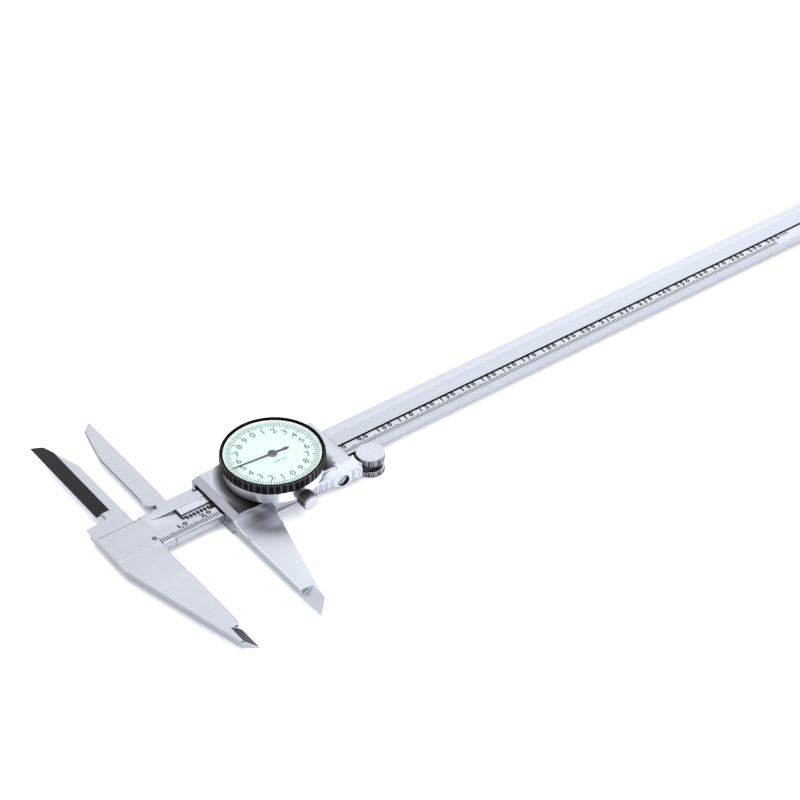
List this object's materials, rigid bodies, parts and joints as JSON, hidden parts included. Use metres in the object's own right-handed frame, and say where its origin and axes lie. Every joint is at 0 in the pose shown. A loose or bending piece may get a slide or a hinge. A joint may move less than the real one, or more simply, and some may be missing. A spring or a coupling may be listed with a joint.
{
  "type": "dial caliper",
  "caption": "Long dial caliper: graduated beam with outside and inside jaws, and a slider with a dial driven by a rack, and a thumb roller.",
  "frame": {"origin": "middle of the bounding box's bottom, at the height of the slider's back plate", "axes": "+X along the beam from the jaws to the far end, +Y towards the inside jaws, +Z out of the dial, with the caliper lying on its back"},
  "size_m": [0.4098, 0.1356, 0.0183],
  "materials": {
    "steel": "satin",
    "strip_steel": "satin",
    "dark_steel": "satin",
    "spring_steel": "polished",
    "bright": "polished",
    "case": "satin",
    "knob": "knurled",
    "brass": "satin",
    "black_bezel": "matte",
    "dial": "matte",
    "pointer": "matte",
    "glass": "clear"
  },
  "bodies": {
    "beam_group": {"beam": "steel", "rack": "dark_steel", "rack_cover": "strip_steel", "end_stop": "steel", "end_stop_screws": "bright"},
    "slider_group": {"slider": "steel", "gib": "brass", "gib_screws": "bright", "back_plate": "steel", "back_plate_screws": "bright", "depth_rod": "steel", "roller_tension_screw": "bright", "dial_case": "case", "pinion_bush": "brass", "movement_plate": "brass", "movement_bridge": "brass", "movement_pillars": "brass", "hairspring": "spring_steel"},
    "roller": {"roller_upper_wheel": "bright", "roller_lower_wheel": "bright", "roller_axle": "bright"},
    "rack_gear": {"rack_pinion": "bright", "drive_wheel": "brass"},
    "pointer_shaft": {"centre_pinion": "bright", "pointer": "pointer"},
    "spring_gear": {"spring_wheel": "brass"},
    "bezel_group": {"bezel": "black_bezel", "dial_face": "dial", "crystal": "glass"},
    "bezel_screw": {"bezel_lock_screw": "knob"},
    "slider_screw": {"slider_lock_screw": "knob"}
  },
  "joints": [
    {"name": "slide", "type": "slide", "parent": "beam_group", "child": "slider_group", "axis": [1, 0, 0], "range_m": [-0.02553, 0.27447]},
    {"name": "roller_turn", "type": "hinge", "parent": "slider_group", "child": "roller", "pos_m": [-0.10014, -0.01289, 0.0063], "axis": [0, 0, 1], "continuous": true},
    {"name": "rack_gear_turn", "type": "hinge", "parent": "slider_group", "child": "rack_gear", "pos_m": [-0.14393, -0.0011, 0.0113], "axis": [0, 0, 1], "continuous": true},
    {"name": "pointer_turn", "type": "hinge", "parent": "slider_group", "child": "pointer_shaft", "pos_m": [-0.13498, -0.00031, 0.0113], "axis": [0, 0, 1], "continuous": true},
    {"name": "spring_gear_turn", "type": "hinge", "parent": "slider_group", "child": "spring_gear", "pos_m": [-0.12602, 0.00048, 0.0113], "axis": [0, 0, 1], "continuous": true},
    {"name": "bezel_turn", "type": "hinge", "parent": "slider_group", "child": "bezel_group", "pos_m": [-0.13498, -0.00031, 0.0142], "axis": [0, 0, 1], "continuous": true},
    {"name": "bezel_screw_turn", "type": "hinge", "parent": "slider_group", "child": "bezel_screw", "pos_m": [-0.13498, -0.01991, 0.01047], "axis": [0, -1, 0], "range_deg": [-180, 180]},
    {"name": "slider_screw_turn", "type": "hinge", "parent": "slider_group", "child": "slider_screw", "pos_m": [-0.12263, 0.0147, 0.00495], "axis": [0, 1, 0], "range_deg": [-180, 180]}
  ],
  "couplings": [
    {"joint": "roller_turn", "follows": "slide", "rad_per_m": 179.86},
    {"joint": "rack_gear_turn", "follows": "slide", "rad_per_m": 523.6},
    {"joint": "pointer_turn", "follows": "slide", "rad_per_m": -3141.6},
    {"joint": "spring_gear_turn", "follows": "slide", "rad_per_m": 523.6}
  ]
}
